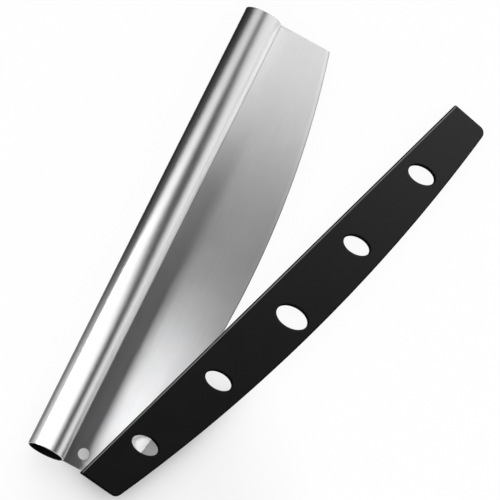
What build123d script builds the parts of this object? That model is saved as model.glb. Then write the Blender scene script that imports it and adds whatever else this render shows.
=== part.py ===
from build123d import *
import math
import os

# Rocking pizza knife: a straight steel tube for a handle, a curved steel blade let into
# its wall, and a slotted plastic guard that closes over the cutting edge.
# Millimetres. The origin is on the handle's axis at mid-length, +X runs towards the end
# away from the hanging hole, -Y towards the cutting edge, and +Z is square to the blade.

# Handle tube
knife_length = 406.0
tube_diameter = 31.75
tube_wall = 1.2
tube_rim_break = 0.4

# Blade, with its depths measured from the underside of the tube
blade_thickness = 1.5
blade_end_depth = 46.1
blade_middle_depth = 71.5
blade_corner_round = 0.9
bevel_width = 3.2
edge_land = 0.2
seam_clearance = 0.05
root_setback = 0.1
hang_hole_diameter = 9.5
hang_hole_from_end = 13.0
hang_hole_below_tube = 12.6
hang_hole_break = 0.25

# Guard, with its depths measured from its open mouth
guard_length = 442.0
guard_end_depth = 34.0
guard_middle_depth = 51.2
guard_wall = 2.0
guard_end_wall = 1.6
guard_web = 2.0
guard_corner_round = 4.5
guard_edge_round = 1.1
slot_side_clearance = 0.3
slot_floor_clearance = 0.3
mouth_lead_in = 0.4
hanging_end_lean = 11.6
plain_end_lean = -5.6

# Windows through both walls of the guard
window_pitch = 81.3
window_row_offset = -4.1
window_long_axis = 23.7
window_short_axis = 14.3
middle_window_long_axis = 28.2
middle_window_short_axis = 17.8
window_slant = 18.7
window_end_round_share = 0.72
window_rim_break = 0.7
outer_window_depth_share = 0.511
inner_window_depth_share = 0.524
middle_window_depth_share = 0.598

# Place of the guard, which turns on the corner of the blade at the hanging-hole end
closed_offset = 6.0
pivot_from_blade_end = 11.4
pivot_below_corner = 3.8
rest_opening = 18.73

# One overrun for every cut
cut_overrun = 5.0

# Worked out from the sizes above
tube_radius = tube_diameter / 2
bore_radius = tube_radius - tube_wall
half_knife = knife_length / 2
corner_drop = tube_radius + blade_end_depth
middle_drop = tube_radius + blade_middle_depth
edge_sag = middle_drop - corner_drop
edge_radius = (half_knife**2 + edge_sag**2) / (2 * edge_sag)
edge_centre = edge_radius - middle_drop
slot_width = blade_thickness + 2 * slot_side_clearance
guard_thickness = slot_width + 2 * guard_wall
half_guard = guard_length / 2
guard_sag = guard_middle_depth - guard_end_depth
guard_radius = (half_guard**2 + guard_sag**2) / (2 * guard_sag)
guard_centre = guard_radius - guard_middle_depth
mouth_drop_closed = middle_drop + slot_floor_clearance - (guard_middle_depth - guard_web)
pivot = Vector(-half_knife + pivot_from_blade_end, -corner_drop - pivot_below_corner, 0)


def make_handle_tube():
    """Round tube, open at both ends, slit along its underside for the blade's root."""
    shell = Cylinder(tube_radius, knife_length) - Cylinder(bore_radius, knife_length + cut_overrun)
    rims = shell.edges().filter_by(GeomType.CIRCLE)
    shell = chamfer(rims, min(tube_rim_break, tube_wall / 3))
    shell = Rot(0, 90, 0) * shell
    slit_width = blade_thickness + 2 * seam_clearance
    slit_depth = tube_radius - bore_radius + cut_overrun
    slit = Box(knife_length + cut_overrun, slit_depth, slit_width)
    slit = Pos(0, -tube_radius + tube_wall + cut_overrun / 2 - slit_depth / 2, 0) * slit
    return shell - slit


def make_blade():
    """Flat plate with a convex cutting edge, ground to a bevel on both sides."""
    root = -bore_radius - root_setback
    outline = Polyline(
        (-half_knife, -corner_drop),
        (-half_knife, root),
        (half_knife, root),
        (half_knife, -corner_drop),
    )
    curve = ThreePointArc(
        (half_knife, -corner_drop), (0, -middle_drop), (-half_knife, -corner_drop)
    )
    blank = make_face(outline + curve)
    corners = blank.vertices().sort_by(Axis.Y)[:2]
    blank = extrude(fillet(corners, blade_corner_round), blade_thickness / 2, both=True)
    return blank & make_grind() - make_hang_hole()


def make_grind():
    """Disc whose rim carries the two bevels, centred on the cutting edge's own arc."""
    shoulder = edge_radius - bevel_width
    half_section = Polyline(
        (0, blade_thickness),
        (shoulder, blade_thickness),
        (shoulder, blade_thickness / 2),
        (edge_radius, edge_land / 2),
        (edge_radius, 0),
        (0, 0),
        close=True,
    )
    section = Plane.XZ * make_face(half_section)
    upper = Pos(0, edge_centre, 0) * revolve(section, Axis.Z)
    return upper + mirror(upper, Plane.XY)


def make_hang_hole():
    """Through hole with its rims broken on both faces of the plate."""
    radius = hang_hole_diameter / 2
    drill = Cylinder(radius, blade_thickness + cut_overrun)
    rim = Cone(radius, radius + hang_hole_break, hang_hole_break)
    rim = Pos(0, 0, blade_thickness / 2 - hang_hole_break / 2) * rim
    hole = drill + rim + mirror(rim, Plane.XY)
    return Pos(-half_knife + hang_hole_from_end, -tube_radius - hang_hole_below_tube, 0) * hole


def guard_depth_at(along):
    """Depth of the guard from its mouth to its convex edge, at a place along it."""
    return math.sqrt(guard_radius**2 - along**2) - guard_centre


def crescent(end_inset, web_inset, mouth_rise, corner_round):
    """Flat outline of the guard, or of its cavity when drawn in by the insets."""
    deep = guard_middle_depth + cut_overrun
    near_tan = math.tan(math.radians(hanging_end_lean))
    far_tan = math.tan(math.radians(plain_end_lean))
    near_mouth = -half_guard + end_inset / math.cos(math.radians(hanging_end_lean))
    far_mouth = half_guard - end_inset / math.cos(math.radians(plain_end_lean))
    frame = Polyline(
        (near_mouth - mouth_rise * near_tan, mouth_rise),
        (far_mouth + mouth_rise * far_tan, mouth_rise),
        (far_mouth - deep * far_tan, -deep),
        (near_mouth + deep * near_tan, -deep),
        close=True,
    )
    disc = Pos(0, guard_centre) * Circle(guard_radius - web_inset)
    outline = make_face(frame) & disc
    return fillet(outline.vertices().sort_by(Axis.Y)[:2], corner_round)


def window_outline(place):
    """Slanted four-arc oval of one window, numbered from the middle of the row outwards."""
    half_long = (window_long_axis if place else middle_window_long_axis) / 2
    half_short = (window_short_axis if place else middle_window_short_axis) / 2
    end_round = window_end_round_share * half_short
    reach = half_long**2 + half_short**2 - 2 * half_long * end_round
    side_round = reach / (2 * (half_short - end_round))
    side = Circle(side_round)
    lens = Pos(side_round - half_short, 0) * side & Pos(half_short - side_round, 0) * side
    oval = fillet(lens.vertices(), end_round)
    shares = (middle_window_depth_share, inner_window_depth_share, outer_window_depth_share)
    along = window_row_offset + place * window_pitch
    depth = guard_depth_at(along) * shares[abs(place)]
    return Pos(along, -depth) * Rot(0, 0, window_slant) * oval


def make_blade_guard():
    """One moulded channel: two walls, a convex web and closed ends, open at its mouth."""
    windows = [window_outline(place) for place in (-2, -1, 0, 1, 2)]
    sheet = crescent(0, 0, 0, guard_corner_round) - windows
    body = extrude(sheet, guard_thickness / 2, both=True)
    body = chamfer(face_edges(body, inner=True), window_rim_break)
    body = fillet(face_edges(body, inner=False), guard_edge_round)
    inner_round = guard_corner_round - guard_end_wall
    cavity = crescent(guard_end_wall, guard_web, cut_overrun, inner_round)
    body = body - extrude(cavity, slot_width / 2, both=True)
    return place_guard(body - make_lead_in())


def face_edges(body, inner):
    """Edges of the guard's two flat faces: round the windows, or round the outline."""
    faces = body.faces().sort_by(Axis.Z)
    picked = []
    for face in (faces[0], faces[-1]):
        wires = face.inner_wires() if inner else [face.outer_wire()]
        for wire in wires:
            picked += wire.edges()
    return picked


def make_lead_in():
    """Prism that opens the mouth of the slot by a small chamfer on each wall."""
    half = slot_width / 2
    profile = Polyline(
        (-mouth_lead_in, half),
        (0, half + mouth_lead_in),
        (0, -half - mouth_lead_in),
        (-mouth_lead_in, -half),
        close=True,
    )
    run = guard_length - 2 * guard_end_wall
    return extrude(Plane.YZ * make_face(profile), run / 2, both=True)


def place_guard(guard):
    """Close the guard over the blade, then swing it open about the pivot."""
    closed = Pos(closed_offset, -mouth_drop_closed, 0) * guard
    return closed.rotate(Axis(pivot, (0, 0, 1)), -rest_opening)


nodes = {
    "handle_tube": make_handle_tube(),
    "blade": make_blade(),
    "blade_guard": make_blade_guard(),
}

os.makedirs("parts", exist_ok=True)
for name, solid in nodes.items():
    export_step(solid, f"parts/{name}.step")
print("pivot", pivot.X, pivot.Y, "guard thickness", guard_thickness)
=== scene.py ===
import math

import bmesh
import bpy
from bpy.props import FloatProperty, FloatVectorProperty, IntProperty, PointerProperty
from mathutils import Matrix, Vector


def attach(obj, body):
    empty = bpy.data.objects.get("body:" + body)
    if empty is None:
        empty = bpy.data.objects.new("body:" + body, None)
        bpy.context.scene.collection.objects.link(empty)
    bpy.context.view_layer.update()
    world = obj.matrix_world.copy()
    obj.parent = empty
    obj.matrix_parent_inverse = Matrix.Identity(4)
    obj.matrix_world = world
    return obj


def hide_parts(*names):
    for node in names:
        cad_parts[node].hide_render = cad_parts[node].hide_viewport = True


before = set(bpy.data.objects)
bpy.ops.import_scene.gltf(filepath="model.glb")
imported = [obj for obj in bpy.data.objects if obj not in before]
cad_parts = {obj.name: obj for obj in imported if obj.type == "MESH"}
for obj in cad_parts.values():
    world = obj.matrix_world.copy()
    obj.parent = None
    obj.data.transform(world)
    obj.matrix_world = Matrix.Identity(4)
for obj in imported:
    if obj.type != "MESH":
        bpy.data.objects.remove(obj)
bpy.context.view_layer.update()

bl_info = {
    "name": "Rocking pizza knife",
    "version": (1, 0, 0),
    "blender": (4, 5, 0),
    "location": "3D View > Sidebar > Rocker",
    "description": "Builds a steel rocker blade on a tube handle, with its slotted guard",
    "category": "Object",
}

MM = 0.001
FULL_TURN = 2 * math.pi
TUBE_PIECE = "handle_shell"
BLADE_PIECE = "rocker_blade"
GUARD_PIECE = "guard_shell"


def offset(name, description, millimetres, **limits):
    """Property that holds a place along an axis, which may be negative."""
    return FloatProperty(
        name=name, description=description, default=millimetres * MM, precision=5,
        subtype="DISTANCE", unit="LENGTH", **limits,
    )


def length(name, description, millimetres):
    """Property that holds a length of the object."""
    return offset(name, description, millimetres, min=0)


def angle(name, description, degrees):
    """Property that holds an angle."""
    return FloatProperty(
        name=name, description=description, default=math.radians(degrees),
        subtype="ANGLE", unit="ROTATION",
    )


def share(name, description, value):
    """Property that holds a share from 0 to 1."""
    return FloatProperty(
        name=name, description=description, default=value, min=0, max=1, subtype="FACTOR"
    )


def tint(name, description, value):
    """Property that holds a linear colour."""
    return FloatVectorProperty(
        name=name, description=description, default=value, min=0, max=1, size=4, subtype="COLOR"
    )


def point(name, description, value):
    """Property that holds a place in space."""
    return FloatVectorProperty(
        name=name, description=description, default=value, subtype="TRANSLATION", unit="LENGTH"
    )


def direction(name, description, value):
    """Property that holds a direction."""
    return FloatVectorProperty(
        name=name, description=description, default=value, subtype="DIRECTION"
    )


def brightness(name, description, value):
    """Property that holds the level of a light."""
    return FloatProperty(name=name, description=description, default=value)


class RockerTubeSettings(bpy.types.PropertyGroup):
    """Sizes of the handle tube."""

    span: length("Length", "Length of the handle tube", 406)
    diameter: length("Diameter", "Outside diameter of the handle tube", 31.75)
    wall: length("Wall", "Wall of the handle tube", 1.2)
    rim_round: length("Rim round", "Radius on the four rims of the tube's ends", 0.4)
    slit: length("Slit", "Width of the slit that takes the blade's root", 1.56)
    steps: IntProperty(name="Steps", description="Steps round the tube", default=200, min=16)
    rim_steps: IntProperty(name="Rim steps", description="Steps round a rim", default=5, min=1)


class RockerBladeSettings(bpy.types.PropertyGroup):
    """Sizes of the curved blade, with its depths from the underside of the tube."""

    thickness: length("Thickness", "Thickness of the sheet", 1.5)
    end_depth: length("End depth", "Depth of the blade at its ends", 46.1)
    middle_depth: length("Middle depth", "Depth of the blade at mid-length", 71.5)
    corner_round: length("Corner round", "Radius on the two lower corners", 0.9)
    bevel: length("Ground bevel", "Width of the ground bevel", 3.2)
    land: length("Edge land", "Thickness left at the cutting edge", 0.2)
    root_inside: length("Root", "How far the root goes into the tube's wall", 1.1)
    hole: length("Hanging hole", "Diameter of the hanging hole", 9.5)
    hole_from_end: length("Hole from end", "Centre of the hole from the blade's end", 13)
    hole_below: length("Hole below tube", "Centre of the hole below the tube", 12.6)
    rim_break: length("Broken rim", "Width taken off the hanging hole's rims", 0.5)
    end_break: share("Broken ends", "Width taken off the ends as a share of the rim's", 0.44)
    columns: IntProperty(
        name="Columns", description="Columns along the blade", default=200, min=8
    )


class RockerGuardSettings(bpy.types.PropertyGroup):
    """Sizes of the slotted guard, with its depths from its open mouth."""

    span: length("Length", "Length of the guard along its mouth", 442)
    end_depth: length("End depth", "Depth of the guard at its ends", 34)
    middle_depth: length("Middle depth", "Depth of the guard at mid-length", 51.2)
    thickness: length("Thickness", "Thickness of the whole guard", 6.1)
    slot: length("Slot", "Width of the slot for the blade", 2.1)
    end_wall: length("End wall", "Wall that closes each end", 1.6)
    web: length("Web", "Wall along the convex edge", 2)
    corner_round: length("Corner round", "Radius on the two lower corners", 6.5)
    edge_round: length("Edge round", "Radius on the edges of the two faces", 1.3)
    lip_share: share("Lip round", "Round of the slot's lips as a share of the edge round", 0.3)
    mouth_share: share("Mouth corner", "Round of the mouth's corners as a share of it", 0.8)
    near_lean: angle("Hanging-end lean", "Lean of the end beside the hanging hole", 11.6)
    far_lean: angle("Plain-end lean", "Lean of the other end", -5.6)
    window_pitch: length("Window pitch", "Distance between the windows", 81.3)
    window_shift: offset("Window shift", "Place of the row along the guard", -4.1)
    window_long: length("Window length", "Long axis of a window", 23.7)
    window_short: length("Window width", "Short axis of a window", 14.3)
    middle_long: length("Middle length", "Long axis of the middle window", 28.2)
    middle_short: length("Middle width", "Short axis of the middle window", 17.8)
    window_slant: angle("Window slant", "Turn of each window", 18.7)
    outer_share: share("Outer depth", "Depth of the outer windows in the guard", 0.511)
    inner_share: share("Inner depth", "Depth of the inner windows in the guard", 0.524)
    middle_share: share("Middle depth", "Depth of the middle window in the guard", 0.598)
    closed_drop: length("Closed drop", "Mouth below the tube's axis when closed", 38.475)
    closed_shift: offset("Closed shift", "Guard along the knife when closed", 6)
    pivot_x: offset("Pivot X", "Place of the hinge along the knife", -191.6)
    pivot_y: offset("Pivot Y", "Place of the hinge across the knife", -65.775)
    opening: angle("Opening", "How far the guard stands open at rest", 18.73)


class RockerFinishSettings(bpy.types.PropertyGroup):
    """Colours and finishes."""

    steel: tint("Steel", "Colour of the brushed steel", (0.66, 0.66, 0.665, 1))
    tube_roughness: share("Tube roughness", "Roughness of the brushed tube", 0.2)
    tube_grain: angle("Tube grain", "How far the tube's grain turns the light sideways", 7)
    blade_roughness: share("Blade roughness", "Roughness of the brushed blade", 0.3)
    blade_grain: angle("Blade grain", "How far the blade's grain turns the light sideways", 34)
    plastic: tint("Plastic", "Colour of the guard", (0.003, 0.003, 0.0031, 1))
    plastic_roughness: share("Plastic roughness", "Roughness of the guard", 0.42)


class RockerStageSettings(bpy.types.PropertyGroup):
    """Camera, floor and studio lights."""

    lens: FloatProperty(name="Lens", description="Focal length", default=504, unit="CAMERA")
    camera_place: point("Camera", "Place of the camera", (-1.3036, 0.6095, 5.4963))
    camera_back: direction(
        "Camera back", "Direction from the scene to the camera", (-0.2331, 0.1203, 0.9650)
    )
    camera_right: direction(
        "Camera right", "Direction of the image's right side", (0.4327, -0.8758, 0.2137)
    )
    floor_tilt: angle("Floor tilt", "Tilt at which the floor meets tube and guard", 3.56)
    floor_size: length("Floor", "Side of the floor", 16000)
    tent_radius: length("Tent radius", "Radius of the light tent over the object", 700)
    tent_span: length("Tent length", "Length of the light tent", 3000)
    ambient: brightness("Ambient", "Level of the tent's gap", 0.07)
    plain_level: brightness("Plain level", "Level of the soft light", 1.0)
    key_level: brightness("Key side", "Level of the tent's +Y side", 1.6)
    fill_level: brightness("Fill side", "Level of the tent's -Y side", 1.1)
    over_level: brightness("Over plain end", "Level of the card over the plain end", 1.7)
    lamp_power: FloatProperty(
        name="Lamp", description="Power of the low lamp", default=1.5, unit="POWER"
    )
    lamp_width: length("Lamp width", "Side of the low lamp along the handle", 240)
    lamp_height: length("Lamp height", "Side of the low lamp across the handle", 120)
    lamp_place: point("Lamp place", "Place of the low lamp", (-0.075, 0.43, 0.208))
    lamp_aim: point("Lamp aim", "Point that the low lamp looks at", (-0.13, -0.04, 0))


class Term:
    """One output of a node. Sums, products and the like on it add Math nodes."""

    def __init__(self, tree, output):
        self.tree = tree
        self.output = output

    def math(self, operation, *others):
        return self.tree.math(operation, self, *others)

    def __add__(self, other):
        return self.math("ADD", other)

    def __sub__(self, other):
        return self.math("SUBTRACT", other)

    def __mul__(self, other):
        return self.math("MULTIPLY", other)

    def __truediv__(self, other):
        return self.math("DIVIDE", other)

    def __pow__(self, other):
        return self.math("POWER", other)

    def __radd__(self, other):
        return self.tree.math("ADD", other, self)

    def __rsub__(self, other):
        return self.tree.math("SUBTRACT", other, self)

    def __rmul__(self, other):
        return self.tree.math("MULTIPLY", other, self)

    def __rtruediv__(self, other):
        return self.tree.math("DIVIDE", other, self)

    def __gt__(self, other):
        return self.math("GREATER_THAN", other)

    def __lt__(self, other):
        return self.math("LESS_THAN", other)

    def __neg__(self):
        return self.tree.math("MULTIPLY", self, -1)

    def __abs__(self):
        return self.math("ABSOLUTE")


class Tree:
    """Node tree of a material, the world or a shape, filled by one method."""

    def __init__(self, nodes):
        self.nodes = nodes

    def node(self, kind, settings=None, inputs=None, out=0):
        """Adds a node: its settings first, then its sockets' values or links."""
        made = self.nodes.nodes.new(kind)
        for name, value in (settings or {}).items():
            setattr(made, name, value)
        for key, value in (inputs or {}).items():
            for one in value if isinstance(value, list) else [value]:
                if isinstance(one, Term):
                    self.nodes.links.new(one.output, made.inputs[key])
                else:
                    made.inputs[key].default_value = one
        return Term(self, made.outputs[out]) if made.outputs else made

    def math(self, operation, *values):
        return self.node("ShaderNodeMath", {"operation": operation}, dict(enumerate(values)))

    def vector(self, operation, *values):
        out = 1 if operation in ("LENGTH", "DISTANCE") else 0
        sockets = (0, "Scale") if operation == "SCALE" else range(len(values))
        inputs = dict(zip(sockets, values))
        return self.node("ShaderNodeVectorMath", {"operation": operation}, inputs, out)

    def combine(self, x, y, z):
        return self.node("ShaderNodeCombineXYZ", None, {0: x, 1: y, 2: z})

    def split(self, vector):
        made = self.node("ShaderNodeSeparateXYZ", None, {0: vector}).output.node
        return [Term(self, output) for output in made.outputs]

    def place(self):
        return self.node("ShaderNodeTexCoord", out="Object")

    def normal(self):
        return self.node("ShaderNodeNewGeometry", out="Normal")

    def ray(self, out):
        return self.node("ShaderNodeLightPath", out=out)

    def step(self, value, low, high, to_low=0.0, to_high=1.0):
        """Smooth step from one level to another as a value goes from low to high."""
        inputs = {0: value, 1: low, 2: high, 3: to_low, 4: to_high}
        return self.node("ShaderNodeMapRange", {"interpolation_type": "SMOOTHSTEP"}, inputs)

    def noise(self, vector, scale=1.0, detail=2.0):
        """Noise from 0 to 1, with its scale in cells to the metre."""
        return self.node("ShaderNodeTexNoise", None, {
            "Vector": vector, "Scale": scale, "Detail": detail,
        })


# Materials

# Brushed steel: cells to the metre along the brushing and across it
GRAIN_CELLS = (1500, 150000)
BAND_CELLS = (30, 900)
SCRATCH_CELLS = (25, 2500)
PATCH_CELLS = 40
GRAIN_STEP = (0.36, 0.64, -1.0, 0.84)
SCRATCH_STEP = (0.63, 0.74)
BAND_LEAN, BAND_TONE, BAND_ROUGH = 0.02, 0.12, 0.02
PATCH_TONE, PATCH_ROUGH = 0.10, 0.03
SCRATCH_TONE = 0.03

# Bore of the tube: where its dull skin and its painted shade start and are full, outwards from the
# wall's inside
BORE_DULL_AND_SHADED = (0.4 * MM, 0.1 * MM)
BORE_PAINTED_SHADE, BORE_ROUGH = 0.97, 0.3

# Marks on the blade: where each starts and is full, and the share of the tone that it takes. The
# seam is part weld line and part painted contact shadow; the edge line, the hole's end and the
# strip beside the tube are painted shade. The ground band adds to the tone instead, and turns the
# normal upright.
GROUND_BLUR, GROUND_TONE, GROUND_UPRIGHT = 0.2 * MM, 0.08, 9.0
# painted shadow: a dark line along the cutting edge
EDGE_SHADOW_BAND, EDGE_PAINTED_SHADOW = (0.9 * MM, 0.5 * MM), 0.5
SEAM_FROM_TUBE, SEAM_WELD_AND_SHADE = (0.9 * MM, 0.3 * MM), 0.4
# painted shade: the blade darker towards the hanging hole's end
END_SHADE_FROM_END, END_PAINTED_SHADE = (40 * MM, 10 * MM), 0.14
SHADED_FROM_TUBE, SHADED_ALONG, SHADED_DARK = (25 * MM, 12 * MM), (130 * MM, 40 * MM), 0.33

# Moulded plastic: its texture in cells to the metre, its painted highlight line below the mouth,
# and the painted shade and roughness of its sides against its flat faces
PEBBLE_CELLS, PEBBLE_ROUGH, PEBBLE_BUMP, PEBBLE_HEIGHT = 2600, 0.06, 0.18, 0.05 * MM
CLOUD_CELLS, CLOUD_TONE, CLOUD_ROUGH = 35, 0.4, 0.08
LIP_STARTS, LIP_ENDS, LIP_PAINTED_HIGHLIGHT = (0.7 * MM, 1.1 * MM), (2.0 * MM, 1.6 * MM), 45
FLAT_RISE = (0.7, 0.98)
SIDE_PAINTED_SHADE, SIDE_ROUGH, SIDE_SHADE_MIX = 0.8, 0.3, 0.85
PLASTIC_SHEEN, SHADE_BLACK = 0.3, (0.001, 0.001, 0.001, 1)


def new_material(name):
    """Empty node material, and the tree that fills it."""
    material = bpy.data.materials.new(name)
    material.use_nodes = True
    material.node_tree.nodes.clear()
    return material, Tree(material.node_tree)


def close_material(tree, shader):
    """Leads a shader to the material's output."""
    tree.node("ShaderNodeOutputMaterial", None, {"Surface": shader})


def brush_marks(tree, place, spread):
    """Fine streaks along X: how far they lean the normal sideways, their tone and roughness."""
    x, y, z = tree.split(place)

    def streaks(cells, detail):
        along, across = cells
        return tree.noise(tree.combine(x * along, y * across, z * across), detail=detail)

    grain = tree.step(streaks(GRAIN_CELLS, 0), *GRAIN_STEP)
    bands = streaks(BAND_CELLS, 3) - 0.5
    scratch = tree.step(streaks(SCRATCH_CELLS, 1), *SCRATCH_STEP)
    patch = tree.noise(place, scale=PATCH_CELLS, detail=3) - 0.5
    lean = (grain ** 3 + bands * BAND_LEAN) * math.tan(spread)
    tone = 1 + bands * BAND_TONE + patch * PATCH_TONE - scratch * SCRATCH_TONE
    rough = bands * BAND_ROUGH + patch * PATCH_ROUGH
    return lean, tone, rough


def close_steel(tree, colour, tone, rough, normal, lean):
    """Metal shader with its colour scaled by a tone and its normal leaned across X."""
    sideways = tree.vector("CROSS_PRODUCT", (1, 0, 0), normal)
    turned = tree.vector("ADD", normal, tree.vector("SCALE", sideways, lean))
    shader = tree.node("ShaderNodeBsdfPrincipled", None, {
        "Base Color": tree.vector("SCALE", tuple(colour)[:3], tone), "Metallic": 1.0,
        "Roughness": rough, "Normal": tree.vector("NORMALIZE", turned),
    })
    close_material(tree, shader)


def tube_steel(finish, tube):
    """Steel of the tube, brushed along its length outside, and left dull with painted shade in its
    bore.
    """
    material, tree = new_material("brushed_tube_finish")
    place = tree.place()
    lean, tone, rough = brush_marks(tree, place, finish.tube_grain)
    y, z = tree.split(place)[1:]
    bore = tube.diameter / 2 - tube.wall
    reach = tree.vector("LENGTH", tree.combine(0, y, z))
    inside = tree.step(reach, *(bore + skin for skin in BORE_DULL_AND_SHADED))
    # painted shade: the bore's colour is darkened nearly to black
    tone = tone * (1 - inside * BORE_PAINTED_SHADE)
    rough = finish.tube_roughness + rough + inside * BORE_ROUGH
    close_steel(tree, finish.steel, tone, rough, tree.normal(), lean)
    return material


def blade_steel(finish, blade, tube):
    """Steel of the blade, brushed along X and ground to a paler band, with a painted shadow line
    at its edge.

    It has a dark seam that is part weld line and part painted contact shadow, and painted shade
    beside the tube and at the hanging hole's end.
    """
    material, tree = new_material("brushed_blade_finish")
    place = tree.place()
    lean, tone, rough = brush_marks(tree, place, finish.blade_grain)
    x, y, z = tree.split(place)
    radius, centre = cutting_arc(blade, tube)
    reach = tree.vector("DISTANCE", tree.combine(x, y, 0), (0, centre, 0))
    shoulder = radius - blade.bevel
    ground = tree.step(reach, shoulder - GROUND_BLUR, shoulder + GROUND_BLUR)
    upright = tree.combine(0, 0, z.math("SIGN"))
    eased = tree.vector("SCALE", upright, ground * GROUND_UPRIGHT)
    normal = tree.vector("NORMALIZE", tree.vector("ADD", tree.normal(), eased))
    under = tube.diameter / -2
    end = tube.span / -2
    edge_shadow = tree.step(reach, *(radius - far for far in EDGE_SHADOW_BAND))
    seam = tree.step(y, *(under - far for far in SEAM_FROM_TUBE))
    end_shade = tree.step(x, *(end + far for far in END_SHADE_FROM_END))
    shaded = tree.step(y, *(under - far for far in SHADED_FROM_TUBE))
    shaded = shaded * tree.step(x, *SHADED_ALONG)
    tone = tone + ground * GROUND_TONE
    # painted shade and painted contact shadow darken the tone at these marks
    for mark, dark in ((seam, SEAM_WELD_AND_SHADE), (edge_shadow, EDGE_PAINTED_SHADOW), (end_shade, END_PAINTED_SHADE),
                       (shaded, SHADED_DARK)):
        tone = tone * (1 - mark * dark)
    close_steel(tree, finish.steel, tone, finish.blade_roughness + rough, normal, lean)
    return material


def moulded_plastic(finish, guard):
    """Black plastic, finely textured, with painted shade on its matte sides and a painted
    highlight line along the lips.
    """
    material, tree = new_material("black_plastic_finish")
    place = tree.place()
    closed = tree.node("ShaderNodeVectorRotate", {"rotation_type": "Z_AXIS"}, {
        "Vector": place, "Center": (guard.pivot_x, guard.pivot_y, 0), "Angle": guard.opening,
    })
    depth = -tree.split(closed)[1] - guard.closed_drop
    rise = abs(tree.split(tree.normal())[2])
    flat = tree.step(rise, *FLAT_RISE)
    side = 1 - flat
    # painted highlight: a pale line along the lips below the mouth
    lip = tree.step(depth, *LIP_STARTS) * tree.step(depth, *LIP_ENDS) * flat
    pebble = tree.noise(place, scale=PEBBLE_CELLS, detail=2)
    cloud = tree.noise(place, scale=CLOUD_CELLS, detail=3) - 0.5
    # painted shade on the sides, and a painted highlight on the lips
    tone = (1 + cloud * CLOUD_TONE) * (1 - side * SIDE_PAINTED_SHADE) * (1 + lip * LIP_PAINTED_HIGHLIGHT)
    rough = cloud * CLOUD_ROUGH + (pebble - 0.5) * PEBBLE_ROUGH + side * SIDE_ROUGH
    bump = tree.node("ShaderNodeBump", None, {
        "Strength": PEBBLE_BUMP, "Distance": PEBBLE_HEIGHT, "Height": pebble,
    })
    shader = tree.node("ShaderNodeBsdfPrincipled", None, {
        "Base Color": tree.vector("SCALE", tuple(finish.plastic)[:3], tone),
        "Roughness": finish.plastic_roughness + rough, "Normal": bump,
        "Specular IOR Level": PLASTIC_SHEEN,
    })
    # painted shade: the sides mix toward near-black matte
    matte = tree.node("ShaderNodeBsdfDiffuse", None, {"Color": SHADE_BLACK})
    shaded_sides = tree.node("ShaderNodeMixShader", None, {0: side * SIDE_SHADE_MIX, 1: shader, 2: matte})
    close_material(tree, shaded_sides)
    return material


# Shapes

# Gaps within which points are welded, and within which a point counts as on a face or wall
WELD_GAP, CUT_WELD_GAP = 0.001 * MM, 0.002 * MM
FACE_GAP, WALL_GAP = 0.01 * MM, 0.1 * MM
# Angles between two faces
NEARLY_FLAT, SHOWN_SHARP, STEEP = (math.radians(turn) for turn in (5, 9, 60))
GUARD_SHARP = math.radians(35)
EVEN_WEIGHT = 80

# Guard
CORNER_POINTS, WEB_POINTS, WINDOW_POINTS = 13, 181, 88
WINDOWS = 5
MIDDLE_WINDOW = WINDOWS // 2
SLOT_OVERRUN = 5 * MM
HALVINGS = 60
GUARD_ROUND_STEPS = 5

# Blade
HOLE_POINTS, CORNER_STEPS = 96, 6
DRILL_LENGTH = 20 * MM
RIM_ROUND_STEPS = 3


def shape_tree(name, **inputs):
    """Geometry Nodes tree with named inputs of each kind, and the terms that read them."""
    nodes = bpy.data.node_groups.new(name, "GeometryNodeTree")
    for kind, labels in inputs.items():
        for label in labels:
            nodes.interface.new_socket(label, in_out="INPUT", socket_type="NodeSocket" + kind)
    nodes.interface.new_socket("Geometry", in_out="OUTPUT", socket_type="NodeSocketGeometry")
    tree = Tree(nodes)
    read = nodes.nodes.new("NodeGroupInput").outputs
    return tree, {label: Term(tree, read[label]) for labels in inputs.values() for label in labels}


def close_shape(tree, geometry, material):
    """Ends a tree in Realize Instances and Set Material."""
    real = tree.node("GeometryNodeRealizeInstances", None, {0: geometry})
    painted = tree.node("GeometryNodeSetMaterial", None, {0: real, "Material": material})
    tree.node("NodeGroupOutput", None, {0: painted})


def add(name, data):
    """New object in the scene that holds a mesh, a lamp or a camera."""
    made = bpy.data.objects.new(name, data)
    bpy.context.scene.collection.objects.link(made)
    return made


def plain_mesh(made):
    """Mesh of an object with its modifiers carried out."""
    graph = bpy.context.evaluated_depsgraph_get()
    return bpy.data.meshes.new_from_object(made.evaluated_get(graph), depsgraph=graph)


def grow(name, tree, values):
    """Object whose plain mesh a Geometry Nodes tree made from named values."""
    made = add(name, bpy.data.meshes.new(name))
    modifier = made.modifiers.new("Shape", "NODES")
    modifier.node_group = tree.nodes
    for item in tree.nodes.interface.items_tree:
        if item.in_out == "INPUT":
            modifier[item.identifier] = values[item.name]
    mesh = plain_mesh(made)
    made.modifiers.remove(modifier)
    made.data = mesh
    mesh.name = name
    if not mesh.polygons:
        raise RuntimeError(f"{name} came out empty")
    return made


def round_edges(made, width, segments):
    """Bevel on the edges that carry a weight, as wide as the width times the weight."""
    bevel = made.modifiers.new("Rounded edges", "BEVEL")
    bevel.limit_method = "WEIGHT"
    bevel.width = width
    bevel.segments = segments
    bevel.harden_normals = True
    bevel.use_clamp_overlap = False
    bevel.loop_slide = False


def finish_piece(made, body, node):
    """Gives a finished piece its body, and hides the CAD part that it stands for."""
    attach(made, body)
    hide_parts(node)


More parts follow.
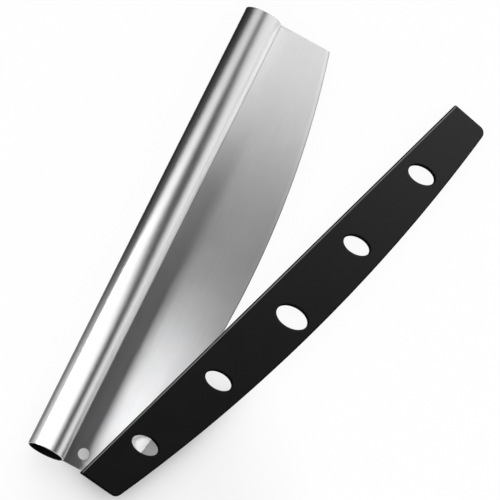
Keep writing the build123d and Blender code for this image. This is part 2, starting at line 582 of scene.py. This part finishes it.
def tube_tree():
    """Section of the wall, with rounded rims, swept round the handle's axis."""
    tree, size = shape_tree(
        "tube_sweep", Float=("Length", "Radius", "Wall", "Rim Round", "Slit Angle"),
        Int=("Steps", "Rim Steps"), Material=("Material",),
    )
    path = tree.node("GeometryNodeCurveArc", {"mode": "RADIUS"}, {
        "Resolution": size["Steps"],
        "Radius": size["Radius"] - size["Wall"] / 2,
        "Start Angle": size["Slit Angle"] / 2 - FULL_TURN / 4,
        "Sweep Angle": FULL_TURN - size["Slit Angle"],
    })
    section = tree.node("GeometryNodeCurvePrimitiveQuadrilateral", {"mode": "RECTANGLE"}, {
        "Width": size["Wall"], "Height": size["Length"],
    })
    section = tree.node("GeometryNodeFilletCurve", {"mode": "POLY"}, {
        "Curve": section, "Radius": size["Rim Round"], "Count": size["Rim Steps"],
    })
    wall = tree.node("GeometryNodeCurveToMesh", None, {
        "Curve": path, "Profile Curve": section, "Fill Caps": True,
    })
    turned = tree.node("GeometryNodeTransform", None, {
        "Geometry": wall, "Rotation": (0, FULL_TURN / 4, 0),
    })
    smooth = tree.node("GeometryNodeSetShadeSmooth", None, {"Geometry": turned})
    close_shape(tree, smooth, size["Material"])
    return tree


def arc_radius(span, sag):
    """Radius of the arc that bulges by a sag over a span."""
    half = span / 2
    return (half**2 + sag**2) / (2 * sag)


def cutting_arc(blade, tube):
    """Radius of the cutting edge's arc, and the place of its centre along Y."""
    radius = arc_radius(tube.span, blade.middle_depth - blade.end_depth)
    return radius, radius - tube.diameter / 2 - blade.middle_depth


def guard_arc(guard):
    """Radius of the guard's convex edge, and its centre's height over the mouth."""
    radius = arc_radius(guard.span, guard.middle_depth - guard.end_depth)
    return radius, radius - guard.middle_depth


def crescent(guard, end_inset, web_inset, corner_round, rise):
    """Points of the guard's flat outline, or of its slot when drawn in: mouth, foot and web."""
    half = guard.span / 2
    radius, height = guard_arc(guard)
    centre = Vector((0, height, 0))
    radius -= web_inset
    points = {"Middle": centre - Vector((0, radius, 0))}
    for name, side, lean in (("Near", -1, guard.near_lean), ("Far", 1, guard.far_lean)):
        down = Vector((-side * math.sin(lean), -math.cos(lean), 0))
        outward = Vector((side * math.cos(lean), -math.sin(lean), 0))
        mouth = Vector((side * half, 0, 0)) - Vector((side * end_inset / math.cos(lean), 0, 0))
        start = mouth - outward * corner_round
        low, high = 0, guard.middle_depth
        for _ in range(HALVINGS):
            reach = (low + high) / 2
            inside = (start + down * reach - centre).length < radius - corner_round
            low, high = (reach, high) if inside else (low, reach)
        hub = start + down * reach
        spoke = (hub - centre).normalized()
        points[name + " Mouth"] = mouth - down * rise / math.cos(lean)
        points[name + " Side"] = hub + outward * corner_round
        points[name + " Corner"] = hub + (outward + spoke).normalized() * corner_round
        points[name + " Foot"] = hub + spoke * corner_round
    return points


OUTLINE = (
    "Near Mouth", "Near Side", "Near Corner", "Near Foot", "Middle",
    "Far Foot", "Far Corner", "Far Side", "Far Mouth",
)
ARCS = (
    (CORNER_POINTS, "Near Side", "Near Corner", "Near Foot"),
    (WEB_POINTS, "Near Foot", "Middle", "Far Foot"),
    (CORNER_POINTS, "Far Foot", "Far Corner", "Far Side"),
)
LINES = (("Far Side", "Far Mouth"), ("Far Mouth", "Near Mouth"), ("Near Mouth", "Near Side"))
GUARD_SIZES = (
    "Thickness", "Slot", "Window Pitch", "Window Shift", "Window Slant",
    "Outer Share", "Inner Share", "Middle Share", "Lip Share", "Mouth Share",
)


def guard_tree():
    """Crescent plate, less a row of slanted windows and less the slot for the blade."""
    points = [f"{part} {point}" for part in ("Plate", "Slot") for point in OUTLINE]
    tree, size = shape_tree(
        "guard_channel", Float=(*GUARD_SIZES, "Arc Radius", "Arc Centre"),
        Vector=(*points, "Window", "Middle Window"), Material=("Material",),
    )
    index = tree.node("GeometryNodeInputIndex")
    position = tree.node("GeometryNodeInputPosition")

    def weld(geometry, gap):
        return tree.node("GeometryNodeMergeByDistance", None, {
            "Geometry": geometry, "Distance": gap,
        })

    def outline(part):
        """Closed curve through a part's named points."""
        sides = []
        for count, *ends in ARCS:
            start, middle, end = (size[f"{part} {point}"] for point in ends)
            sides.append(tree.node("GeometryNodeCurveArc", {"mode": "POINTS"}, {
                "Resolution": count, "Start": start, "Middle": middle, "End": end,
            }))
        for ends in LINES:
            start, end = (size[f"{part} {point}"] for point in ends)
            sides.append(tree.node("GeometryNodeCurvePrimitiveLine", None, {
                "Start": start, "End": end,
            }))
        joined = tree.node("GeometryNodeJoinGeometry", None, {0: sides})
        wires = weld(tree.node("GeometryNodeCurveToMesh", None, {"Curve": joined}), WELD_GAP)
        return tree.node("GeometryNodeMeshToCurve", None, {"Mesh": wires})

    def prism(curve, height):
        """Closed solid of a flat curve, as high above the plane as below it."""
        sheet = tree.node("GeometryNodeFillCurve", {"mode": "NGONS"}, {"Curve": curve})
        sheet = tree.node("GeometryNodeTransform", None, {
            "Geometry": sheet, "Translation": tree.combine(0, 0, height / -2),
        })
        raised = tree.node("GeometryNodeExtrudeMesh", None, {
            "Mesh": sheet, "Offset": (0, 0, 1), "Offset Scale": height, "Individual": False,
        })
        under = tree.node("GeometryNodeFlipFaces", None, {"Mesh": sheet})
        return weld(tree.node("GeometryNodeJoinGeometry", None, {0: [raised, under]}), WELD_GAP)

    plate = prism(outline("Plate"), size["Thickness"])
    slot = prism(outline("Slot"), size["Slot"])
    first = size["Window Shift"] - size["Window Pitch"] * MIDDLE_WINDOW
    row = tree.node("GeometryNodeMeshLine", {"mode": "OFFSET"}, {
        "Count": WINDOWS, "Start Location": tree.combine(first, 0, 0),
        "Offset": tree.combine(size["Window Pitch"], 0, 0),
    })
    # Each part below is its share at one rank from the middle of the row, and 0 at the others
    rank = abs(index - MIDDLE_WINDOW)
    middle_part = (rank - 1) * (rank - 2) / 2 * size["Middle Share"]
    inner_part = rank * (2 - rank) * size["Inner Share"]
    outer_part = rank * (rank - 1) / 2 * size["Outer Share"]
    along = tree.split(position)[0]
    depth = (size["Arc Radius"] ** 2 - along * along).math("SQRT") - size["Arc Centre"]
    drop = -(depth * (middle_part + inner_part + outer_part))
    row = tree.node("GeometryNodeSetPosition", None, {
        "Geometry": row, "Offset": tree.combine(0, drop, 0),
    })
    oval = tree.node("GeometryNodeCurvePrimitiveCircle", {"mode": "RADIUS"}, {
        "Resolution": WINDOW_POINTS, "Radius": 0.5,
    })
    axes = tree.node("GeometryNodeSwitch", {"input_type": "VECTOR"}, {
        "Switch": rank < 0.5, "False": size["Window"], "True": size["Middle Window"],
    })
    windows = tree.node("GeometryNodeInstanceOnPoints", None, {
        "Points": row, "Instance": oval, "Scale": axes,
        "Rotation": tree.combine(0, 0, size["Window Slant"]),
    })
    windows = tree.node("GeometryNodeRealizeInstances", None, {0: windows})
    windows = prism(windows, size["Thickness"] * 2)
    body = tree.node("GeometryNodeMeshBoolean", {"operation": "DIFFERENCE", "solver": "EXACT"}, {
        "Mesh 1": plate, "Mesh 2": [windows, slot],
    })
    body = weld(body, CUT_WELD_GAP)
    # Weights for the bevel: full on the faces' outlines, a share on the lips and mouth corners
    x, y, z = tree.split(position)
    sharp = tree.node("GeometryNodeInputMeshEdgeAngle") > GUARD_SHARP
    face = abs(z) > size["Thickness"] / 2 - FACE_GAP
    lip = (y > -FACE_GAP) * (1 - (abs(z) > size["Slot"] / 2 + WALL_GAP))
    near, far = (tree.split(size[f"Plate {side} Mouth"])[0] for side in ("Near", "Far"))
    corner = (x < near + WALL_GAP) + (x > far - WALL_GAP)
    lip_share = size["Lip Share"] + (size["Mouth Share"] - size["Lip Share"]) * corner
    weight = sharp * (face + (1 - face) * lip * lip_share)
    body = tree.node("GeometryNodeSetShadeSmooth", {"domain": "FACE"}, {"Geometry": body})
    body = tree.node("GeometryNodeSetShadeSmooth", {"domain": "EDGE"}, {
        "Geometry": body, "Selection": sharp * (weight < 0.01), "Shade Smooth": False,
    })
    weighted = tree.node(
        "GeometryNodeStoreNamedAttribute", {"data_type": "FLOAT", "domain": "EDGE"},
        {"Geometry": body, "Name": "bevel_weight_edge", "Value": weight},
    )
    close_shape(tree, weighted, size["Material"])
    return tree


def blade_mesh(blade, tube):
    """Sheet with an arched lower edge, as columns of root, shoulder and edge."""
    under = tube.diameter / 2
    half = tube.span / 2
    radius, centre = cutting_arc(blade, tube)
    corner_round = blade.corner_round
    slope = math.asin(half / radius)
    straight = half - corner_round
    stations = []
    for step in range(blade.columns + 1):
        stations.append((straight * (2 * step / blade.columns - 1), 0.0))
    corner = []
    for step in range(1, CORNER_STEPS + 1):
        turn = slope + (FULL_TURN / 4 - slope) * step / CORNER_STEPS
        reach = (math.sin(turn) - math.sin(slope)) / (1 - math.sin(slope))
        rise = corner_round * (math.cos(slope) - math.cos(turn))
        corner.append((straight + corner_round * reach, rise))
    stations = [(-x, rise) for x, rise in reversed(corner)] + stations + corner
    sheet = bmesh.new()
    columns = []
    for x, rise in stations:
        inner_x = max(min(x, straight), -straight)
        edge_y = centre - math.sqrt(radius**2 - inner_x**2) + rise
        shoulder_y = centre - math.sqrt((radius - blade.bevel) ** 2 - x**2)
        root_y = -under + blade.root_inside
        rows = ((root_y, blade.thickness), (shoulder_y, blade.thickness), (edge_y, blade.land))
        columns.append([
            [sheet.verts.new((x, y, side * width / 2)) for y, width in rows] for side in (1, -1)
        ])
    for left, right in zip(columns, columns[1:]):
        for row in range(2):
            sheet.faces.new((left[0][row], left[0][row + 1], right[0][row + 1], right[0][row]))
            sheet.faces.new((left[1][row], right[1][row], right[1][row + 1], left[1][row + 1]))
        for row in (0, 2):
            sheet.faces.new((left[0][row], right[0][row], right[1][row], left[1][row]))
    for front, rear in (columns[0], columns[-1]):
        for row in range(2):
            sheet.faces.new((front[row], front[row + 1], rear[row + 1], rear[row]))
    bmesh.ops.recalc_face_normals(sheet, faces=sheet.faces)
    mesh = bpy.data.meshes.new(BLADE_PIECE)
    sheet.to_mesh(mesh)
    sheet.free()
    return mesh


def drill(mesh, place, radius):
    """Cuts a round hole square through a mesh with a Boolean, and returns the new mesh."""
    bit = bpy.data.meshes.new("bit")
    cylinder = bmesh.new()
    bmesh.ops.create_cone(
        cylinder, cap_ends=True, segments=HOLE_POINTS, radius1=radius, radius2=radius,
        depth=DRILL_LENGTH,
    )
    cylinder.to_mesh(bit)
    cylinder.free()
    bit.transform(Matrix.Translation(place))
    plate, tool = add("plate", mesh), add("tool", bit)
    cut = plate.modifiers.new("Hole", "BOOLEAN")
    cut.object = tool
    cut.solver = "EXACT"
    result = plain_mesh(plate)
    for made in (plate, tool):
        bpy.data.objects.remove(made)
    return result


# Operators

class ROCKER_OT_tube(bpy.types.Operator):
    """Build the handle tube"""

    bl_idname = "rocker.tube"
    bl_label = "Handle tube"

    def execute(self, context):
        tube = context.scene.rocker_tube
        finish = context.scene.rocker_finish
        radius = tube.diameter / 2
        made = grow(TUBE_PIECE, tube_tree(), {
            "Length": tube.span, "Radius": radius, "Wall": tube.wall,
            "Rim Round": tube.rim_round, "Slit Angle": 2 * math.asin(tube.slit / 2 / radius),
            "Steps": tube.steps, "Rim Steps": tube.rim_steps,
            "Material": tube_steel(finish, tube),
        })
        even = made.modifiers.new("Even shading", "WEIGHTED_NORMAL")
        even.weight = EVEN_WEIGHT
        finish_piece(made, "knife", "handle_tube")
        return {"FINISHED"}


class ROCKER_OT_blade(bpy.types.Operator):
    """Build the curved blade with its ground bevel and hanging hole"""

    bl_idname = "rocker.blade"
    bl_label = "Blade"

    def execute(self, context):
        blade = context.scene.rocker_blade
        tube = context.scene.rocker_tube
        finish = context.scene.rocker_finish
        half = tube.span / 2
        place = Vector((-half + blade.hole_from_end, -tube.diameter / 2 - blade.hole_below, 0))
        mesh = drill(blade_mesh(blade, tube), place, blade.hole / 2)
        mesh.name = BLADE_PIECE
        self.mark_edges(mesh, blade, place, half)
        mesh.materials.clear()
        mesh.materials.append(blade_steel(finish, blade, tube))
        made = add(BLADE_PIECE, mesh)
        round_edges(made, blade.rim_break, RIM_ROUND_STEPS)
        finish_piece(made, "knife", "blade")
        return {"FINISHED"}

    @staticmethod
    def mark_edges(mesh, blade, place, half):
        """Weights on the sharp edges to be broken, and smooth faces apart from the rest."""
        work = bmesh.new()
        work.from_mesh(mesh)
        weights = work.edges.layers.float.new("bevel_weight_edge")
        flat = blade.thickness / 2
        for edge in work.edges:
            if len(edge.link_faces) != 2 or edge.calc_face_angle() < NEARLY_FLAT:
                continue
            middle = (edge.verts[0].co + edge.verts[1].co) / 2
            on_face = all(abs(abs(vert.co.z) - flat) < WELD_GAP for vert in edge.verts)
            by_hole = (middle.xy - place.xy).length < blade.hole / 2 + FACE_GAP
            at_end = all(abs(abs(vert.co.x) - half) < WELD_GAP for vert in edge.verts)
            if on_face and edge.calc_face_angle() > STEEP and (by_hole or at_end):
                edge[weights] = 1 if by_hole else blade.end_break
            elif edge.calc_face_angle() > SHOWN_SHARP:
                edge.smooth = False
        for face in work.faces:
            face.smooth = True
        work.to_mesh(mesh)
        work.free()


class ROCKER_OT_guard(bpy.types.Operator):
    """Build the slotted guard with its five windows"""

    bl_idname = "rocker.guard"
    bl_label = "Guard"

    def execute(self, context):
        guard = context.scene.rocker_guard
        finish = context.scene.rocker_finish
        radius, height = guard_arc(guard)
        values = {label: getattr(guard, label.lower().replace(" ", "_")) for label in GUARD_SIZES}
        values |= {
            "Arc Radius": radius, "Arc Centre": height,
            "Window": (guard.window_short, guard.window_long, 1.0),
            "Middle Window": (guard.middle_short, guard.middle_long, 1.0),
            "Material": moulded_plastic(finish, guard),
        }
        inner_round = guard.corner_round - guard.end_wall
        insets = {
            "Plate": (0, 0, guard.corner_round, 0),
            "Slot": (guard.end_wall, guard.web, inner_round, SLOT_OVERRUN),
        }
        for part, inset in insets.items():
            for point, place in crescent(guard, *inset).items():
                values[f"{part} {point}"] = tuple(place)
        made = grow(GUARD_PIECE, guard_tree(), values)
        pivot = Matrix.Translation((guard.pivot_x, guard.pivot_y, 0))
        swing = pivot @ Matrix.Rotation(-guard.opening, 4, "Z") @ pivot.inverted()
        closed = Matrix.Translation((guard.closed_shift, -guard.closed_drop, 0))
        made.data.transform(swing @ closed)
        round_edges(made, guard.edge_round, GUARD_ROUND_STEPS)
        finish_piece(made, "guard", "blade_guard")
        return {"FINISHED"}


# Steps of light. Each one's numbers are where it starts and ends, and its levels there: along
# the tent or the floor in metres, and round the tent in degrees from straight up. Key and fill
# are the +Y and -Y sides of the tube's cards, and bank and over those of the flat pieces.
KEY_LOW_RIM, KEY_LOW_BLUR = (0.0, 0.17, -92, -72), 18
KEY_HIGH_RIM, KEY_HIGH_BLUR = (0.03, 0.17, 20, -20), 12
KEY_FADES = ((0.05, 0.38, 1.0, 0.52), (-0.35, -0.08, 0.5, 1.0))
FILL_RIMS, FILL_BLUR = ((0.10, 0.17, 58, 40), (0.23, 0.38, 0, -38)), 14
BANK_RIM, BANK_FIRST, BANK_LATER = (20, 45), 0.02, 2.6
OVER_ALONG, OVER_RIM = (0.245, 0.305), (-30, -8)
FLAG_ALONG = ((-0.16, 0.03, 0.85, 0.12), (0.03, 0.25, 0.0, -0.05))
FLAG_ACROSS = (0.03, 0.10, 0.3, 1.0)

# Floor, with its dimmer part under the guard's low end, and the other forms of the stage
DIM_PLACE, DIM_REACH = (-0.2, -0.105, 0), (0.145, 0.045)
TUBE_CARD_SHARE, FLAT_CARD_SHARE = 0.98, 0.96
TENT_SIDE, TENT_STEPS = 96, 64
FLAG_CORNERS, FLAG_LIFT = ((-0.7, 0.02), (1.0, 0.8)), 0.4 * MM
FLOOR_DROP = 0.1 * MM
FLOOR_PAINT, FLOOR_GLOW, DIM_GLOW = (0.94, 0.94, 0.94, 1), 0.92, 0.84
WHITE = (1, 1, 1, 1)
WORLD_LEVEL = 0.5
CAMERA_REACH = 100


class ROCKER_OT_stage(bpy.types.Operator):
    """Set up the pale floor, the light tent, the low lamp and the camera"""

    bl_idname = "rocker.stage"
    bl_label = "Stage"

    def execute(self, context):
        stage = context.scene.rocker_stage
        self.make_floor(stage)
        self.make_tent(stage)
        self.make_tube_cards(stage)
        self.make_flat_cards(stage)
        self.make_flag()
        self.make_lamp(stage)
        self.make_world(context)
        self.make_camera(context, stage)
        context.scene.view_settings.view_transform = "Standard"
        return {"FINISHED"}

    @staticmethod
    def add_stage(mesh, material, unseen_by):
        """Piece of the stage, which some kinds of ray don't see."""
        mesh.materials.append(material)
        made = add(mesh.name, mesh)
        for ray in unseen_by:
            setattr(made, "visible_" + ray, False)
        return made

    def add_sheet(self, corners, lift, material, unseen_by=()):
        """Sheet between two corners of the tilted plane under the tube, lifted off it."""
        (left, near), (right, far) = corners
        outline = [(left, near, 0), (right, near, 0), (right, far, 0), (left, far, 0)]
        mesh = bpy.data.meshes.new(material.name)
        mesh.from_pydata(outline, [], [(0, 1, 2, 3)])
        scene = bpy.context.scene
        tilt = scene.rocker_stage.floor_tilt
        normal = Vector((0, math.sin(tilt), math.cos(tilt)))
        place = normal * (lift - scene.rocker_tube.diameter / 2)
        mesh.transform(Matrix.Translation(place) @ Matrix.Rotation(-tilt, 4, "X"))
        return self.add_stage(mesh, material, unseen_by)

    @staticmethod
    def seen_as_background(tree):
        """1 for rays that show the background, 0 for those that light the object."""
        camera, glossy, clear = (
            tree.ray(f"Is {kind} Ray") for kind in ("Camera", "Glossy", "Transmission")
        )
        return (camera + glossy + clear).math("MINIMUM", 1.0)

    def make_floor(self, stage):
        """Pale floor that shows the object's shadow, and glows less by the guard's low end."""
        half = stage.floor_size / 2
        material, tree = new_material("floor")
        paint = tree.node("ShaderNodeBsdfDiffuse", None, {"Color": FLOOR_PAINT})
        glow = tree.node("ShaderNodeEmission", None, {"Color": WHITE, "Strength": 1.0})
        place = tree.place()
        dim = tree.step(tree.vector("DISTANCE", place, DIM_PLACE), *DIM_REACH)
        share_of_glow = self.seen_as_background(tree) * (FLOOR_GLOW - dim * DIM_GLOW)
        mixed = tree.node("ShaderNodeMixShader", None, {0: share_of_glow, 1: paint, 2: glow})
        close_material(tree, mixed)
        self.add_sheet(((-half, -half), (half, half)), -FLOOR_DROP, material)

    def make_tent(self, stage):
        """Half round of even, soft light along X, over the object."""
        material, tree = new_material("light_tent")
        shown = tree.ray("Is Glossy Ray")
        level = stage.ambient * shown + stage.plain_level * (1 - shown)
        close_material(tree, tree.node("ShaderNodeEmission", None, {"Strength": level}))
        self.add_half_round(stage, 1, material)

    def make_tube_cards(self, stage):
        """Bright bank on each side of the tube, with a dim gap that slants across it."""
        material, tree = new_material("tube_cards")
        x, turn = self.place_in_tent(tree)
        above_low = turn - tree.step(x, *KEY_LOW_RIM)
        above_high = turn - tree.step(x, *KEY_HIGH_RIM)
        key = tree.step(above_low, -KEY_LOW_BLUR, KEY_LOW_BLUR)
        key = key * tree.step(above_high, KEY_HIGH_BLUR, -KEY_HIGH_BLUR)
        for fade in KEY_FADES:
            key = key * tree.step(x, *fade)
        rim = tree.step(x, *FILL_RIMS[0]) + tree.step(x, *FILL_RIMS[1])
        fill = tree.step(turn - rim, -FILL_BLUR, FILL_BLUR)
        level = key * stage.key_level + fill * stage.fill_level
        self.close_card(stage, TUBE_CARD_SHARE, (material, tree), level, [TUBE_PIECE])

    def make_flat_cards(self, stage):
        """Bank low on the -Y side and a broad card over the plain end, for the flat pieces."""
        material, tree = new_material("flat_cards")
        x, turn = self.place_in_tent(tree)
        later = tree.ray("Ray Depth") > 1.5  # past the first reflection
        bank = tree.step(turn, *BANK_RIM) * (BANK_FIRST + later * BANK_LATER)
        over = tree.step(x, *OVER_ALONG) * tree.step(turn, *OVER_RIM) * stage.over_level
        level = bank.math("MAXIMUM", over)
        pieces = [BLADE_PIECE, GUARD_PIECE]
        self.close_card(stage, FLAT_CARD_SHARE, (material, tree), level, pieces)

    def close_card(self, stage, share_of_tent, made, level, pieces):
        """Half round of glow that only reflections on the named pieces show."""
        material, tree = made
        shown = tree.ray("Is Glossy Ray")
        glow = tree.node("ShaderNodeEmission", None, {"Strength": level * shown})
        clear = tree.node("ShaderNodeBsdfTransparent")
        close_material(tree, tree.node("ShaderNodeAddShader", None, {0: glow, 1: clear}))
        card = self.add_half_round(stage, share_of_tent, material)
        card.light_linking.receiver_collection = self.gather("lit_by_" + material.name, pieces)

    @staticmethod
    def place_in_tent(tree):
        """Place along the tent, and the angle round it in degrees from straight up."""
        x, y, z = tree.split(tree.place())
        return x, (-y).math("ARCTAN2", z) * math.degrees(1)

    def add_half_round(self, stage, share_of_tent, material):
        """Half round along X, a little over a half turn, at a share of the tent's radius."""
        radius = stage.tent_radius * share_of_tent
        vertices = []
        for x in (-stage.tent_span / 2, stage.tent_span / 2):
            for step in range(TENT_STEPS + 1):
                turn = math.radians(TENT_SIDE * (2 * step / TENT_STEPS - 1))
                vertices.append((x, -radius * math.sin(turn), radius * math.cos(turn)))
        row = TENT_STEPS + 1
        faces = [(step, step + 1, step + row + 1, step + row) for step in range(TENT_STEPS)]
        mesh = bpy.data.meshes.new(material.name)
        mesh.from_pydata(vertices, [], faces)
        return self.add_stage(mesh, material, ("camera", "shadow"))

    def make_flag(self):
        """Graded card on the floor beside the tube, which only reflections show."""
        material, tree = new_material("dark_flag")
        x, y = tree.split(tree.place())[:2]
        level = tree.step(x, *FLAG_ALONG[0]) + tree.step(x, *FLAG_ALONG[1])
        level = level * tree.step(y, *FLAG_ACROSS)
        close_material(tree, tree.node("ShaderNodeEmission", None, {"Strength": level}))
        unseen_by = ("camera", "shadow", "diffuse")
        self.add_sheet(FLAG_CORNERS, FLAG_LIFT, material, unseen_by)

    def make_lamp(self, stage):
        """Low lamp on the +Y side. It lights only the pieces, and only the tube shades them."""
        light = bpy.data.lights.new("low_lamp", "AREA")
        light.shape = "RECTANGLE"
        light.size = stage.lamp_width
        light.size_y = stage.lamp_height
        light.energy = stage.lamp_power
        made = add("low_lamp", light)
        place = Vector(stage.lamp_place)
        self.aim(made, place, place - Vector(stage.lamp_aim), Vector((1, 0, 0)))
        pieces = [TUBE_PIECE, BLADE_PIECE, GUARD_PIECE]
        linking = made.light_linking
        linking.receiver_collection = self.gather("lit_by_low_lamp", pieces)
        linking.blocker_collection = self.gather("blocks_low_lamp", [TUBE_PIECE])

    @staticmethod
    def gather(name, pieces):
        """Collection of the named pieces, for the light linking."""
        made = bpy.data.collections.new(name)
        for piece in pieces:
            made.objects.link(bpy.data.objects[piece])
        return made

    @staticmethod
    def aim(made, place, back, right):
        """Stands a lamp or a camera at a place, by the directions of its back and right side."""
        back = back.normalized()
        right = (right - back * right.dot(back)).normalized()
        axes = Matrix((right, back.cross(right), back)).transposed().to_4x4()
        made.matrix_world = Matrix.Translation(place) @ axes

    def make_world(self, context):
        """White background, which lights the object at a lower level."""
        world = bpy.data.worlds.new("studio")
        context.scene.world = world
        world.use_nodes = True
        world.node_tree.nodes.clear()
        tree = Tree(world.node_tree)
        strength = WORLD_LEVEL + self.seen_as_background(tree) * (1 - WORLD_LEVEL)
        shader = tree.node("ShaderNodeBackground", None, {"Color": WHITE, "Strength": strength})
        tree.node("ShaderNodeOutputWorld", None, {"Surface": shader})

    def make_camera(self, context, stage):
        camera = bpy.data.cameras.new("camera")
        camera.lens = stage.lens
        camera.clip_end = CAMERA_REACH
        made = add("camera", camera)
        back, right = Vector(stage.camera_back), Vector(stage.camera_right)
        self.aim(made, Vector(stage.camera_place), back, right)
        context.scene.camera = made


class ROCKER_PT_panel(bpy.types.Panel):
    """Buttons and sizes in the 3D view's sidebar."""

    bl_idname = "ROCKER_PT_panel"
    bl_label = "Rocking knife"
    bl_space_type = "VIEW_3D"
    bl_region_type = "UI"
    bl_category = "Rocker"

    def draw(self, context):
        layout = self.layout
        for operator in OPERATORS:
            layout.operator(operator.bl_idname)
        for name in SETTINGS:
            group = getattr(context.scene, name)
            box = layout.box()
            for field in group.bl_rna.properties.keys():
                if field not in ("rna_type", "name"):
                    box.prop(group, field)


SETTINGS = {
    "rocker_tube": RockerTubeSettings,
    "rocker_blade": RockerBladeSettings,
    "rocker_guard": RockerGuardSettings,
    "rocker_finish": RockerFinishSettings,
    "rocker_stage": RockerStageSettings,
}
OPERATORS = (ROCKER_OT_tube, ROCKER_OT_blade, ROCKER_OT_guard, ROCKER_OT_stage)
CLASSES = (*SETTINGS.values(), *OPERATORS, ROCKER_PT_panel)


def register():
    for made in CLASSES:
        bpy.utils.register_class(made)
    for name, group in SETTINGS.items():
        setattr(bpy.types.Scene, name, PointerProperty(type=group))


def unregister():
    for name in SETTINGS:
        delattr(bpy.types.Scene, name)
    for made in reversed(CLASSES):
        bpy.utils.unregister_class(made)


def main():
    register()
    bpy.ops.rocker.tube()
    bpy.ops.rocker.blade()
    bpy.ops.rocker.guard()
    bpy.ops.rocker.stage()


if __name__ == "__main__":
    main()
